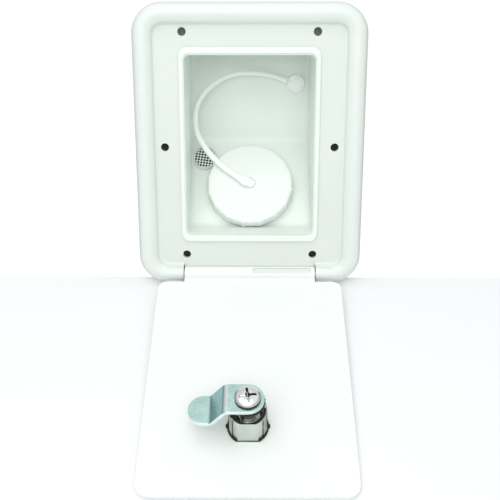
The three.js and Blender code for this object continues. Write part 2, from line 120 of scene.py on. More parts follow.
def fillet(points, steps=5, closed=False):
    """A line with rounded corners: each point is (x, y) or (x, y, radius)."""
    out, n = [], len(points)
    for i, p in enumerate(points):
        at = Vector(p[:2])
        if len(p) < 3 or (not closed and i in (0, n - 1)):
            out.append(tuple(at))
            continue
        a = Vector(points[i - 1][:2]) - at
        b = Vector(points[(i + 1) % n][:2]) - at
        la, lb = a.length, b.length
        a, b = a / la, b / lb
        half = math.acos(max(-1, min(1, a.dot(b)))) / 2
        if half > math.pi / 2 - 0.02:
            out.append(tuple(at))
            continue
        back = min(p[2] / math.tan(half), 0.49 * la, 0.49 * lb)
        r = back * math.tan(half)
        middle = at + (a + b).normalized() * (r / math.sin(half))
        start, end = at + a * back - middle, at + b * back - middle
        turn = start.angle_signed(end)
        for k in range(steps + 1):
            v = start.copy()
            v.rotate(Matrix.Rotation(-turn * k / steps, 2))
            out.append(tuple(middle + v))
    return out


def lathe(profile, segments=96, steps=5, place=None):
    """Turned about Z from (radius, height[, rounding]) points; it ends on the axis or closes on itself."""
    closed = profile[0][0] > 0
    line = fillet(profile, steps, closed)
    verts, rings = [], []
    for r, z in line:
        count = segments if r > 1e-6 else 1
        rings.append([len(verts) + k for k in range(count)])
        turns = [TAU * k / segments for k in range(count)]
        verts += [(r * math.cos(a), r * math.sin(a), z) for a in turns]
    faces = []
    for a, b in zip(rings, rings[1:] + rings[:1] if closed else rings[1:]):
        for k in range(segments):
            n = (k + 1) % segments
            quad = [a[k % len(a)], a[n % len(a)], b[n % len(b)], b[k % len(b)]]
            face = list(dict.fromkeys(quad))
            if len(face) > 2:
                faces.append(face)
    return body(verts, faces, place)


def stack(outline, levels, place=None):
    """A solid from outlines at rising heights: levels are (inset, height), outline(inset) gives points."""
    verts, faces = [], []
    for inset, z in levels:
        verts += [(x, y, z) for x, y in outline(inset)]
    n = len(verts) // len(levels)
    for j in range(len(levels) - 1):
        for k in range(n):
            m = (k + 1) % n
            faces.append([j * n + k, j * n + m, (j + 1) * n + m, (j + 1) * n + k])
    faces += [list(range(n))[::-1], list(range((len(levels) - 1) * n, len(levels) * n))]
    return body(verts, faces, place)


def rounded_levels(z0, z1, low=0.3, high=0.3, steps=4):
    """Levels of a slab whose two edges are rounded."""
    quarter = [math.pi / 2 * k / steps for k in range(steps + 1)]
    under = [(low * (1 - math.sin(a)), z0 + low * (1 - math.cos(a))) for a in quarter] if low else [(0, z0)]
    over = [(high * (1 - math.cos(a)), z1 - high * (1 - math.sin(a))) for a in quarter] if high else [(0, z1)]
    return under + over


def rounded_rect(x0, x1, y0, y1, r_low, r_high=None, steps=14):
    r_high = r_low if r_high is None else r_high

    def outline(inset):
        points = []
        corners = ((x1, y0, r_low, -90), (x1, y1, r_high, 0), (x0, y1, r_high, 90), (x0, y0, r_low, 180))
        for x, y, r, start in corners:
            sx, sy = (1 if x == x1 else -1), (1 if y == y1 else -1)
            cx, cy = x - sx * r, y - sy * r
            for k in range(steps + 1):
                a = math.radians(start + 90 * k / steps)
                rr = max(r - inset, 0.02)
                points.append((cx + rr * math.cos(a), cy + rr * math.sin(a)))
        return points

    return outline


def circle(r, x=0.0, y=0.0, segments=48):
    turns = [TAU * k / segments for k in range(segments)]

    def outline(inset):
        return [(x + (r - inset) * math.cos(a), y + (r - inset) * math.sin(a)) for a in turns]

    return outline


def box(x0, x1, y0, y1, z0, z1, place=None):
    verts = [(x, y, z) for z in (z0, z1) for y in (y0, y1) for x in (x0, x1)]
    faces = [(0, 2, 3, 1), (4, 5, 7, 6), (0, 1, 5, 4), (2, 6, 7, 3), (0, 4, 6, 2), (1, 3, 7, 5)]
    return body(verts, faces, place)


def prism(section, x0, x1, place=None):
    """A (y, z) section carried along X."""
    n = len(section)
    verts = [(x, y, z) for x in (x0, x1) for y, z in section]
    faces = [[k, (k + 1) % n, n + (k + 1) % n, n + k] for k in range(n)]
    return body(verts, faces + [list(range(n))[::-1], list(range(n, 2 * n))], place)


def rod(r, x0, x1, y, z, rounding=0.2, segments=64):
    place = Matrix.Translation((x0, y, z)) @ Matrix.Rotation(math.pi / 2, 4, "Y")
    return lathe([(0, 0), (r, 0, rounding), (r, x1 - x0, rounding), (0, x1 - x0)], segments, 4, place)


def tube(line, section_at, place=None):
    """Sections set square to a line of (point, up). section_at(k, share) gives (side, lift) points."""
    verts, faces = [], []
    count = len(line)
    for k, (at, up) in enumerate(line):
        ahead = (line[min(k + 1, count - 1)][0] - line[max(k - 1, 0)][0]).normalized()
        side = ahead.cross(up).normalized()
        lift = side.cross(ahead)
        verts += [at + side * s + lift * t for s, t in section_at(k, k / (count - 1))]
    n = len(verts) // count
    for j in range(count - 1):
        for k in range(n):
            m = (k + 1) % n
            faces.append([j * n + k, j * n + m, (j + 1) * n + m, (j + 1) * n + k])
    faces += [list(range(n)), list(range((count - 1) * n, count * n))]
    return body(verts, faces, place)


def oval(wide, thick, points=24):
    return [(wide * math.cos(TAU * k / points), thick * math.sin(TAU * k / points)) for k in range(points)]


def thread(root, crest, z0, pitch, turns, width, place=None):
    """A screw thread's ridge about Z, tapering out at its ends."""
    line, steps = [], round(turns * 64)
    for k in range(steps + 1):
        a = TAU * turns * k / steps
        at = Vector((root * math.cos(a), root * math.sin(a), z0 + pitch * turns * k / steps))
        line.append((at, Vector((0, 0, 1))))
    depth = crest - root

    def section(_, share):
        d = depth * min(1, 0.12 + 12 * share, 0.12 + 12 * (1 - share))
        tip, foot, sunk = 0.15 * width, 0.5 * width, -0.3 * depth
        return [(d, tip), (d, -tip), (sunk, -foot), (sunk, foot)]

    return tube(line, section, place)


# ---- procedural materials ------------------------------------------------------------------------
def material(name, base, roughness, metallic=0.0, tint=0.02, rough_by=0.05, cloud=0.03, grain=0.0004,
             bump=0.06, stretch=(1, 1, 1)):
    """Colour and roughness drift with a slow cloud, and a fine grain lifts the surface. Sizes in metres."""
    m = bpy.data.materials.new(name)
    m.use_nodes = True
    nodes, links = m.node_tree.nodes, m.node_tree.links
    shader = nodes["Principled BSDF"]
    shader.inputs["Metallic"].default_value = metallic
    where = nodes.new("ShaderNodeTexCoord")
    scaled = nodes.new("ShaderNodeMapping")
    scaled.inputs["Scale"].default_value = stretch
    links.new(where.outputs["Object"], scaled.inputs["Vector"])

    def noise(size, detail, rough=0.5):
        n = nodes.new("ShaderNodeTexNoise")
        n.inputs["Scale"].default_value = 1 / size
        n.inputs["Detail"].default_value = detail
        n.inputs["Roughness"].default_value = rough
        links.new(scaled.outputs["Vector"], n.inputs["Vector"])
        return n.outputs["Fac"]

    def spread(fac, low, high):
        r = nodes.new("ShaderNodeMapRange")
        r.inputs["From Min"].default_value, r.inputs["From Max"].default_value = 0.3, 0.7
        r.inputs["To Min"].default_value, r.inputs["To Max"].default_value = low, high
        links.new(fac, r.inputs["Value"])
        return r.outputs["Result"]

    slow, fine = noise(cloud, 3), noise(grain, 2, 0.6)
    ramp = nodes.new("ShaderNodeValToRGB")
    ramp.color_ramp.elements[0].position, ramp.color_ramp.elements[1].position = 0.3, 0.7
    ramp.color_ramp.elements[0].color = [c * (1 - tint) for c in base] + [1]
    ramp.color_ramp.elements[1].color = [min(1, c * (1 + tint)) for c in base] + [1]
    links.new(slow, ramp.inputs["Fac"])
    links.new(ramp.outputs["Color"], shader.inputs["Base Color"])
    links.new(spread(fine, max(0.02, roughness - rough_by), roughness + rough_by), shader.inputs["Roughness"])
    lift = nodes.new("ShaderNodeBump")
    lift.inputs["Strength"].default_value = bump
    lift.inputs["Distance"].default_value = grain
    links.new(fine, lift.inputs["Height"])
    links.new(lift.outputs["Normal"], shader.inputs["Normal"])
    return m


LOOKS = {
    "frame_plastic": material("FramePlastic", (0.775, 0.825, 0.795), 0.36, tint=0.012, rough_by=0.04),
    "tub_plastic": material("TubPlastic", (0.85, 0.915, 0.865), 0.42, tint=0.014, rough_by=0.05),
    "door_plastic": material("DoorPlastic", (0.86, 0.89, 0.875), 0.38, tint=0.01, rough_by=0.04),
    "cap_plastic": material("CapPlastic", (0.85, 0.89, 0.87), 0.4, tint=0.012, grain=0.0003),
    "strap_plastic": material("StrapPlastic", (0.94, 0.98, 0.955), 0.45, tint=0.015, grain=0.0003),
    "spout_plastic": material("SpoutPlastic", (0.80, 0.84, 0.81), 0.42, tint=0.015),
    "vent_plastic": material("VentPlastic", (0.84, 0.88, 0.86), 0.4, tint=0.015, cloud=0.01, grain=0.0003),
    "zinc_plate": material("ZincPlate", (0.54, 0.76, 0.72), 0.24, 1.0, tint=0.09, rough_by=0.09,
                           cloud=0.006, grain=0.00035, bump=0.12),
    "die_cast": material("DieCast", (0.62, 0.67, 0.62), 0.34, 1.0, tint=0.06, rough_by=0.08, cloud=0.005,
                         grain=0.0003, bump=0.12, stretch=(1, 1, 0.3)),
    "plated_screw": material("PlatedScrew", (0.86, 0.88, 0.87), 0.12, 1.0, tint=0.03, cloud=0.004,
                             grain=0.0003, bump=0.05),
    "plug_brass": material("PlugMetal", (0.66, 0.69, 0.63), 0.3, 1.0, tint=0.05, rough_by=0.08, cloud=0.004,
                           grain=0.0003, bump=0.1),
    "wafer_brass": material("WaferBrass", (0.72, 0.55, 0.24), 0.32, 1.0, tint=0.06, cloud=0.003,
                            grain=0.0002),
    "spring_steel": material("SpringSteel", (0.035, 0.038, 0.04), 0.45, 0.8, tint=0.2, cloud=0.003,
                             grain=0.0002, bump=0.1),
    "stainless": material("Stainless", (0.62, 0.63, 0.62), 0.28, 1.0, tint=0.04, cloud=0.004, grain=0.0003,
                          stretch=(1, 0.2, 0.2)),
    "seal_rubber": material("SealRubber", (0.022, 0.022, 0.023), 0.72, tint=0.25, rough_by=0.1, cloud=0.004,
                            bump=0.25),
}

# Painted shade and painted highlights: parts of a piece take one of these, darker or lighter than the piece's
# own colour, where shade or a highlight is painted on.
# painted shade: a darker copy of the frame plastic for recessed faces, the frame's ledge and the door's
# finger groove
PAINTED_SHADE_PLASTIC = material("PaintedShadePlastic", (0.735, 0.79, 0.75), 0.38, tint=0.012, rough_by=0.04)
# painted shade: a darker copy of the cam's zinc for its slope
PAINTED_SHADE_ZINC = material("PaintedShadeZinc", (0.33, 0.52, 0.54), 0.3, 1.0, tint=0.08, rough_by=0.08, cloud=0.004,
                grain=0.0003, bump=0.12)
# painted shade: near-black steel for the lock barrel's threads at its sides, and a painted dark reflection on
# the cam screw head's side band
PAINTED_SHADE_STEEL = material("PaintedShadeSteel", (0.03, 0.034, 0.034), 0.4, 0.7, tint=0.2, cloud=0.002, grain=0.0002)
# painted highlight: a lighter copy of the cam's zinc for its upper bend and its edges
PAINTED_HIGHLIGHT_ZINC = material("PaintedHighlightZinc", (0.80, 0.88, 0.86), 0.3, 1.0, tint=0.06, cloud=0.003, grain=0.0003,
                   bump=0.1)
# painted shade: near-black for gaps, bores, wells and recesses, and for the cards behind the screw holes
SHADED = material("PaintedShadeBlack", (0.012, 0.013, 0.013), 0.7, tint=0.3, cloud=0.002, grain=0.0002)


def piece(obj, name, on, slot, *nodes):
    """Names a finished body, puts it in metres on its CAD body, and gives it its finish."""
    obj.name = obj.data.name = name
    obj.data.transform(Matrix.Scale(MM, 4))
    for p in obj.data.polygons:
        p.use_smooth = True
    obj.data.set_sharp_from_angle(angle=math.radians(28))
    obj.data.materials.clear()
    obj.data.materials.append(LOOKS[slot])
    weighted = obj.modifiers.new("Normals", "WEIGHTED_NORMAL")
    weighted.keep_sharp = True
    if on:
        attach(obj, on)
    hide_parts(*nodes)
    return obj


def paint(obj, look, place, inside):
    """Paints another material, painted shade or a painted highlight, on the faces whose middle and normal, in
    a place's millimetres, pass a test.
    """
    obj.data.materials.append(look)
    index, back = len(obj.data.materials) - 1, place.inverted()
    turn = back.to_3x3()
    for p in obj.data.polygons:
        if inside(back @ (p.center / MM), turn @ p.normal):
            p.material_index = index


def across_x_at(x):
    """A test for the flat faces that face along X, x to either side of the middle."""
    return lambda v, n: abs(n.x) > 0.9 and abs(abs(v.x) - x) < 0.05


# ---- where things are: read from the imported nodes, in millimetres --------------------------------
def mid(node):
    low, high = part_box(node)
    return (low + high) / 2 / MM


def size(node):
    low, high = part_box(node)
    return (high - low) / MM


IN_PLACE = Matrix.Identity(4)
TO_WALL = Matrix.Rotation(math.pi / 2, 4, "X")  # drawn in X and Z, and rising heights come out of the wall
GAP = 0.3  # between pieces that touch
FRAME_W, _, FRAME_H = size("trim_frame")
FRAME_R = 17.1
LEDGE_T = 3.0
SCREW_HOLES = ((37.3, 64), (48.2, 0.6), (37, -62.6))  # and their mirror images in X
SCREW_HOLE_R = 2.3
TUB_LOW, TUB_HIGH = (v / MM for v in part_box("tub"))
LIP_X = TUB_HIGH.x
LIP_Z0, LIP_Z1 = TUB_LOW.z, TUB_HIGH.z
TUB_X, TUB_Z0, TUB_Z1 = LIP_X - 3.1, LIP_Z0 + 4.9, LIP_Z1 - 4.1
TUB_BACK = 48.2
TUB_WALL = 2.0
BEAD = 4.6
HINGE = Vector((0, mid("hinge_pin_left").y, mid("hinge_pin_left").z))
KNUCKLE_R = 4.4
KNUCKLE_X = 38.2
KNUCKLE_GAP = 0.5
PIN_BORE_R = 1.8

TILT = math.radians(34)
SHELF_OUT = Vector((0, -math.cos(TILT), math.sin(TILT)))
CAP_TOP = 10.2
SHELF = Vector((0, 29.32, -30.05))
SCREEN_AT = 1.125  # middle of the vent's screen above the shelf
ON_SHELF = Matrix.Rotation(math.pi / 2 - TILT, 4, "X")
SPOUT = Matrix.Translation(SHELF) @ ON_SHELF
VENT = Matrix.Translation(mid("vent_screen") - SHELF_OUT * SCREEN_AT) @ ON_SHELF
ANCHOR = Matrix.Translation((mid("tether_anchor").x, TUB_BACK, mid("tether_anchor").z)) @ TO_WALL
OPEN = math.radians(119.5)
LEAF = Matrix.Translation(HINGE) @ Matrix.Rotation(OPEN, 4, "X")
DOOR_IN = 0.3  # inner face, behind the hinge axis when shut
DOOR_T = 3.0
DOOR_HALF_W, DOOR_FROM, DOOR_TO = 53.3, 6.4, 141.2  # the last two from the hinge axis
LOCK_HOLE = Matrix.Translation((0, DOOR_IN, 104)) @ Matrix.Rotation(-math.pi / 2, 4, "X")
LOCK = LEAF @ LOCK_HOLE

# The strap's route, as in the CAD, in metres.
STRAP_D = 0.0031
STRAP_ROUTE = [
    (0.0224, 0.0462, 0.0347), (0.0175, 0.0458, 0.0365), (0.0121, 0.0454, 0.038), (0.0055, 0.0445, 0.0391),
    (-0.0014, 0.0436, 0.0394), (-0.007, 0.0429, 0.0393), (-0.0115, 0.0422, 0.0384), (-0.016, 0.0413, 0.0369),
    (-0.02, 0.0405, 0.0346), (-0.024, 0.0395, 0.0318), (-0.0274, 0.0384, 0.0285), (-0.0302, 0.0372, 0.0248),
    (-0.0322, 0.0359, 0.0206), (-0.0332, 0.0345, 0.0162), (-0.0335, 0.033, 0.0116), (-0.0329, 0.0316, 0.007),
    (-0.0314, 0.0303, 0.0026), (-0.029, 0.029, -0.0016), (-0.026, 0.0276, -0.0058), (-0.0222, 0.0262, -0.01),
    (-0.018, 0.0246, -0.0137), (-0.013, 0.0227, -0.0172), (-0.008, 0.0207, -0.0201),
    (-0.0035, 0.0189, -0.0223),
]


# ---- tether --------------------------------------------------------------------------------------
def smooth_line(points, per=8):
    """Points on a Catmull-Rom curve through the given ones."""
    p = [2 * points[0] - points[1], *points, 2 * points[-1] - points[-2]]
    out = []
    for i in range(1, len(p) - 2):
        for k in range(per):
            t = k / per
            out.append(0.5 * (2 * p[i] + (p[i + 1] - p[i - 1]) * t
                              + (2 * p[i - 1] - 5 * p[i] + 4 * p[i + 1] - p[i + 2]) * t * t
                              + (3 * p[i] - p[i - 1] - 3 * p[i + 1] + p[i + 2]) * t ** 3))
    return out + [points[-1]]


def make_strap():
    centres = smooth_line([Vector(p) / MM for p in STRAP_ROUTE])
    radius = STRAP_D / MM / 2

    def section(_, share):
        swell = 0.36 * max(0.0, (share - 0.5) / 0.5) ** 1.5 + 0.6 * max(0.0, (share - 0.95) / 0.05) ** 1.5
        root = 0.25 * max(0.0, 1 - share / 0.03) ** 1.5
        wide, thick = radius * (1 + swell + root), radius * (1 - 0.08 * max(0.0, (share - 0.9) / 0.1))
        return oval(wide, thick)

    strap = tube([(c, SHELF_OUT) for c in centres], section)
    piece(strap, "TetherStrap", None, "strap_plastic", "tether")
    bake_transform(strap)


add_camera()
make_strap()


# ---- frame ---------------------------------------------------------------------------------------
def rim_outline(inset, steps=24):
    return rounded_rect(-FRAME_W / 2, FRAME_W / 2, -FRAME_H / 2, FRAME_H / 2, FRAME_R, steps=steps)(inset)


def swept_rim(section):
    """A section of (inset, height off the wall) carried round the frame's outline."""
    verts, n = [], len(rim_outline(0))
    for inset, height in section:
        verts += [(x, -height, z) for x, z in rim_outline(inset)]
    faces, rows = [], len(section)
    for j in range(rows):
        m = (j + 1) % rows
        for k in range(n):
            p = (k + 1) % n
            faces.append([j * n + k, j * n + p, m * n + p, m * n + k])
    return body(verts, faces)


def make_frame():
    crown = [(0.05, 1.4), (0.5, 4.2), (1.8, 6.6), (3.8, 8.1), (6.0, 8.6), (8.2, 8.1), (10.1, 6.9)]
    outside = [tuple(p) for p in smooth_line([Vector(p) for p in crown], 5)]
    wall = fillet([outside[-1], (10.75, 6.1, 0.8), (11.55, LEDGE_T, 0.9), (14.0, LEDGE_T)])[1:]
    inside = [(14.0, 0.6), (13.0, 0), (9.4, 0), (9.4, 4.6), (6.2, 6.4), (3.6, 5.2), (2.2, 2), (2.2, 0)]
    rim = swept_rim([(0.3, 0), (0, 0.35)] + outside + wall + inside)
    ledge_x, ledge_z = FRAME_W / 2 - 12.6, FRAME_H / 2 - 12.6
    ledge = stack(rounded_rect(-ledge_x, ledge_x, -ledge_z, ledge_z, 4.5), [(0, 0), (0, LEDGE_T)], TO_WALL)
    shape = join(rim, ledge)
    side = TUB_X + TUB_WALL + GAP
    mouth = rounded_rect(-side, side, TUB_Z0 - TUB_WALL - GAP, TUB_Z1 + TUB_WALL + GAP, 5)
    cut(shape, stack(mouth, [(0, -2), (0, 6)], TO_WALL))
    hole = [(0, -1), (SCREW_HOLE_R, -1), (SCREW_HOLE_R, LEDGE_T, 0.35), (3.4, LEDGE_T), (3.4, 4), (0, 4)]
    for x, z in SCREW_HOLES:
        for s in (-1, 1):
            cut(shape, lathe(hole, 40, 5, Matrix.Translation((s * x, 0, z)) @ TO_WALL))
    half = KNUCKLE_X + KNUCKLE_GAP
    for s in (-1, 1):
        near, far = sorted((s * half, s * (half + 10)))
        join(shape, box(near, far, HINGE.y - 2, 0, -78, -69))
        bore = sorted((s * (half - 1), s * (half + 9)))
        cut(shape, rod(PIN_BORE_R, *bore, HINGE.y, HINGE.z, 0.1, 32))
    lip = -FRAME_H / 2 + 1.2
    return cut(
        shape,
        rod(KNUCKLE_R + GAP, -half, half, HINGE.y, HINGE.z, 0.01),
        box(-half, half, -20, HINGE.y, lip, HINGE.z),
        box(-half, half, -20, HINGE.y, HINGE.z - 1, -60),
        box(-half, half, -20, -LEDGE_T, -70.5, -60),
        box(-half, half, -20, HINGE.y - 2.2, -90, HINGE.z),
    )


trim = piece(make_frame(), "TrimFrame", "hatch", "frame_plastic", "trim_frame")
# painted shade: the ledge's recessed front takes the darker plastic, and the faces beside the knuckle's gap
# go near-black
paint(trim, PAINTED_SHADE_PLASTIC, IN_PLACE, lambda v, n: n.y < -0.99 and v.y > -LEDGE_T - 0.1)
paint(trim, SHADED, IN_PLACE, across_x_at(KNUCKLE_X + KNUCKLE_GAP))


# ---- tub -----------------------------------------------------------------------------------------
def tub_section(grow, front):
    slope = 1 / math.tan(TILT)
    back, low, high = TUB_BACK + grow, TUB_Z0 - grow, TUB_Z1 + grow
    shelf_y = SHELF.y + grow / math.cos(TILT)
    crease = SHELF.z + (back - shelf_y) * slope
    foot = shelf_y + (low - SHELF.z) / slope
    return [(front, low), (foot, low), (back, crease), (back, high), (front, high)]


def make_tub():
    shell = softened(prism(tub_section(TUB_WALL, -20), -TUB_X - TUB_WALL, TUB_X + TUB_WALL), 5, 8)
    cut(shell, box(-80, 80, -40, -BEAD + 0.6, -90, 90))
    lip = rounded_rect(-LIP_X, LIP_X, LIP_Z0, LIP_Z1, 5)
    join(shell, stack(lip, rounded_levels(3.3, BEAD, 0.2, 1.1, 6), TO_WALL))
    cavity = softened(prism(tub_section(0, -30), -TUB_X, TUB_X), 3, 8)
    flare = 0.9
    mouth = rounded_rect(-TUB_X - flare, TUB_X + flare, TUB_Z0 - flare, TUB_Z1 + flare, 3 + flare)
    arc = [math.pi / 2 * k / 6 for k in range(7)]
    curve = [(flare * math.sin(a), BEAD - flare * math.cos(a)) for a in arc[::-1]]
    cut(shell, cavity, stack(mouth, [(flare, 2.5)] + curve + [(0, 8)], TO_WALL))
    cut(shell, box(-24, 10.5, 6, 13, TUB_Z1 - 4, TUB_Z1 + TUB_WALL + 3))
    cut(shell, lathe([(0, -9), (2.1, -9), (2.1, 9), (0, 9)], 32, 1, ANCHOR))
    cut(shell, lathe([(0, -9), (19.4, -9), (19.4, 9), (0, 9)], 64, 1, SPOUT))
    cut(shell, lathe([(0, -9), (7, -9), (7, 9), (0, 9)], 48, 1, VENT))
    # marks left by the mould's ejector pins
    for x, up, r in ((31.5, 3.1, 3.1), (31.0, 27.5, 3.1)):
        spot = SPOUT @ Matrix.Translation((x, up, 0))
        cut(shell, lathe([(r, -0.12), (r + 0.12, 0.3), (r - 0.12, 0.3)], 40, 1, spot))
    return shell


piece(make_tub(), "Tub", "hatch", "tub_plastic", "tub")


# ---- spout, cap and vent -------------------------------------------------------------------------
HOSE_R, BORE_R, NECK_R = 17.8, 15.4, 20.0
FLANGE0, FLANGE1 = 1.4, 2.8


def make_spout():
    barbs = []
    for k in range(3):
        barbs = [(HOSE_R - 1, -23 - 7 * k, 0.2), (HOSE_R, -17 - 7 * k, 0.3)] + barbs
    shape = lathe([
        (BORE_R, 6.6, 0.4), (BORE_R, -40, 0.4), (HOSE_R - 1, -40, 0.4), *barbs, (HOSE_R - 1, -14),
        (HOSE_R + 1.2, -13.5, 0.3), (HOSE_R + 1.2, FLANGE0), (23.4, FLANGE0, 0.2), (23.4, FLANGE1, 0.5),
        (NECK_R, FLANGE1, 0.4), (NECK_R, 6.6, 0.4),
    ], 128, 5, SPOUT)
    return join(shape, thread(NECK_R, 21.2, 3.6, 2.5, 0.9, 1.4, SPOUT))


def make_locknut():
    def octagon(inset):
        r = 26 - inset
        corners = [(r * math.cos(a), r * math.sin(a), 1.2) for a in ((k + 0.5) * TAU / 8 for k in range(8))]
        return fillet(corners, 4, True)

    shape = stack(octagon, rounded_levels(-9, -TUB_WALL - GAP, 0.8, 0.5), SPOUT)
    for k in range(8):
        turn = SPOUT @ Matrix.Rotation(k * TAU / 8, 4, "Z")
        at = turn @ Matrix.Translation((22.3, 0, 0))
        cut(shape, lathe([(0, -12), (1.6, -12), (1.6, -4.2, 0.4), (0, -4.2)], 24, 3, at))
    return cut(shape, lathe([(0, -12), (HOSE_R + 1.5, -12), (HOSE_R + 1.5, 2), (0, 2)], 96, 1, SPOUT))


def make_cap():
    """Narrow, pointed ribs run up the round edge and fade out on the rounding."""
    ribs, per = 16, 24
    cap_r, base, inner, roof, rib_turn = 26.2, 3.1, 22.6, 8.0, math.radians(-76.6)

    def outline(level):
        inset, depth = level
        points = []
        for i in range(ribs * per):
            u = abs(2 * (i % per) / per - 1)  # 1 on a rib and 0 midway to the next
            a = rib_turn + i / per * TAU / ribs
            r = cap_r - inset - depth * (1 - max(0.0, (u - 0.62) / 0.38) ** 1.2)
            points.append((r * math.cos(a), r * math.sin(a)))
        return points

    deep = 0.65
    levels = [((0.35, deep), base), ((0.1, deep), base + 0.15), ((0.0, deep), base + 0.4)]
    rounding = 1.7
    for k in range(9):
        a = math.pi / 2 * k / 8
        fade = deep * (1 - 0.8 * (k / 8) ** 1.5)
        levels.append(((rounding * (1 - math.cos(a)), fade), CAP_TOP - rounding * (1 - math.sin(a))))
    levels.append(((rounding + 1.4, 0.0), CAP_TOP))
    shape = stack(outline, levels, SPOUT)
    hollow = [(0, base - 1), (inner + 1, base - 1), (inner, base + 0.6), (inner, roof, 0.6), (0, roof)]
    stud_hole = [(0, roof - 1), (1.8, roof - 1), (1.8, CAP_TOP, 0.3), (2.6, CAP_TOP), (2.6, 12), (0, 12)]
    cut(shape, lathe(hollow, 128, 4, SPOUT), lathe(stud_hole, 32, 4, SPOUT))
    return join(shape, thread(inner, 21.6, 3.9, 2.5, 0.9, 1.4, SPOUT))


def make_stud():
    """A button whose neck takes the strap's end."""
    top = CAP_TOP + GAP
    shape = lathe([
        (0, 5.6), (1.3, 5.6, 0.2), (1.5, 6.1), (1.5, top, 0.1), (3.2, top, 0.3), (3.2, top + 1.6, 0.9),
        (1.9, top + 2.1, 0.8), (0, top + 2.15),
    ], 64, 5, SPOUT)
    before, end = (Vector(p) / MM for p in STRAP_ROUTE[-2:])
    ahead = (end - before).normalized()
    stations = ((-0.5, 3.0, 1.5), (0.1, 3.05, 1.5), (1.2, 2.95, 1.4), (2.4, 2.6, 1.2), (3.4, 2.0, 0.9))

    neck = [(end + ahead * t, SHELF_OUT) for t, *_ in stations]
    join(shape, tube(neck, lambda k, _: oval(*stations[k][1:])))
    slit = SPOUT @ Matrix.Rotation(math.radians(-42), 4, "Z")
    return cut(shape, box(-1.9, 1.9, 1.7, 2.25, top + 0.7, top + 4, slit))


VENT_R, VENT_SEAT, VENT_TOP, VENT_PITCH, VENT_HOLE_R = 6.5, 0.55, 1.7, 1.8, 0.7


def make_vent_fitting():
    cup = VENT_R + 0.7
    return lathe([
        (cup, VENT_TOP, 0.15), (cup, VENT_SEAT, 0.1), (VENT_R, VENT_SEAT, 0.1), (5.6, -1, 0.4), (4.6, -9, 1),
        (4.6, -24, 0.2), (6, -24, 0.2), (6.6, -19, 0.15), (5.6, -19), (6.6, -13.5, 0.15), (5.6, -13.5),
        (6.7, -8), (6.7, GAP), (7.75, GAP, 0.1), (7.75, VENT_TOP, 0.5),
    ], 72, 4, VENT)


def in_vent_bore(v, _):
    return v.xy.length < (4.7 if v.z < -8 else VENT_R + 0.1) and v.z < 0.5


def make_vent_screen():
    """Rows of round holes; the rim cuts the outer ones short."""
    levels = rounded_levels(VENT_SEAT + GAP, VENT_TOP - GAP, 0.05, 0.1)
    shape = stack(circle(VENT_R + 0.4, segments=72), levels, VENT)
    turn = VENT @ Matrix.Rotation(math.radians(-8), 4, "Z")
    for i in range(-3, 4):
        for j in range(-3, 4):
            if math.hypot(i, j) > 3.8:
                continue
            hole = stack(circle(VENT_HOLE_R, i * VENT_PITCH, j * VENT_PITCH, 16), [(0, -1), (0, 3)], turn)
            if math.hypot(i, j) > 2.9:
                rim = stack(circle(VENT_R, segments=72), [(0, -2), (0, 4)], VENT)
                combine(hole, "INTERSECT", rim)
            cut(shape, hole)
    return shape


piece(make_spout(), "FillSpout", "hatch", "spout_plastic", "fill_spout")
piece(make_locknut(), "SpoutLocknut", "hatch", "spout_plastic", "spout_locknut")
piece(make_cap(), "FillCap", "cap", "cap_plastic", "fill_cap")
piece(make_stud(), "TetherStud", "cap_stud", "strap_plastic", "tether_stud")
vent_fitting = piece(make_vent_fitting(), "VentFitting", "hatch", "vent_plastic", "vent_fitting")
# painted shade: the fitting's bore is near-black
paint(vent_fitting, SHADED, VENT, in_vent_bore)
screen = piece(make_vent_screen(), "VentScreen", "hatch", "vent_plastic", "vent_screen")
# painted shade: the walls of the screen's holes are near-black
paint(screen, SHADED, VENT, lambda v, n: v.xy.length < VENT_R + 0.05 and abs(n.z) < 0.5)


def make_anchor():
    """A button with a raised middle. The strap runs into its edge through a neck that sinks under it."""
    shape = lathe([
        (0, -5.5), (1.8, -5.5, 0.4), (1.8, GAP), (5.4, GAP, 0.3), (5.4, 2.5, 0.9), (3.9, 2.3, 0.3),
        (3.6, 2.75, 0.3), (0, 2.8),
    ], 72, 5, ANCHOR)
    start, ahead = (Vector(p) / MM for p in STRAP_ROUTE[:2])
    ahead -= start
    toward = Vector((mid("tether_anchor").x, start.y, mid("tether_anchor").z)) - start
    stations = ((0.0, 0.0, 1.95, 1.5), (0.2, 0.3, 2.1, 1.25), (0.4, 0.75, 2.4, 0.9), (0.6, 1.0, 2.6, 0.7))
    neck = [(start + toward * t - ahead * 0.02 + Vector((0, back, 0)), SHELF_OUT) for t, back, *_ in stations]
    return join(shape, tube(neck, lambda k, _: oval(*stations[k][2:])))


piece(make_anchor(), "TetherAnchor", "hatch", "strap_plastic", "tether_anchor")


# ---- door ----------------------------------------------------------------------------------------
BARREL_R, BARREL_FLAT = 9.525, 8.1  # the second is half the width across the flats


def lock_outline(grow):
    def outline(inset):
        r, flat = BARREL_R + grow - inset, BARREL_FLAT + grow - inset
        a = math.asin(min(1, flat / r))
        half = [(r * math.cos(t), r * math.sin(t)) for t in (-a + 2 * a * k / 24 for k in range(25))]
        return half + [(-x, -y) for x, y in half]

    return outline


GROOVE_X = (1.6, 35.9)  # a shallow finger groove along the knuckle's front


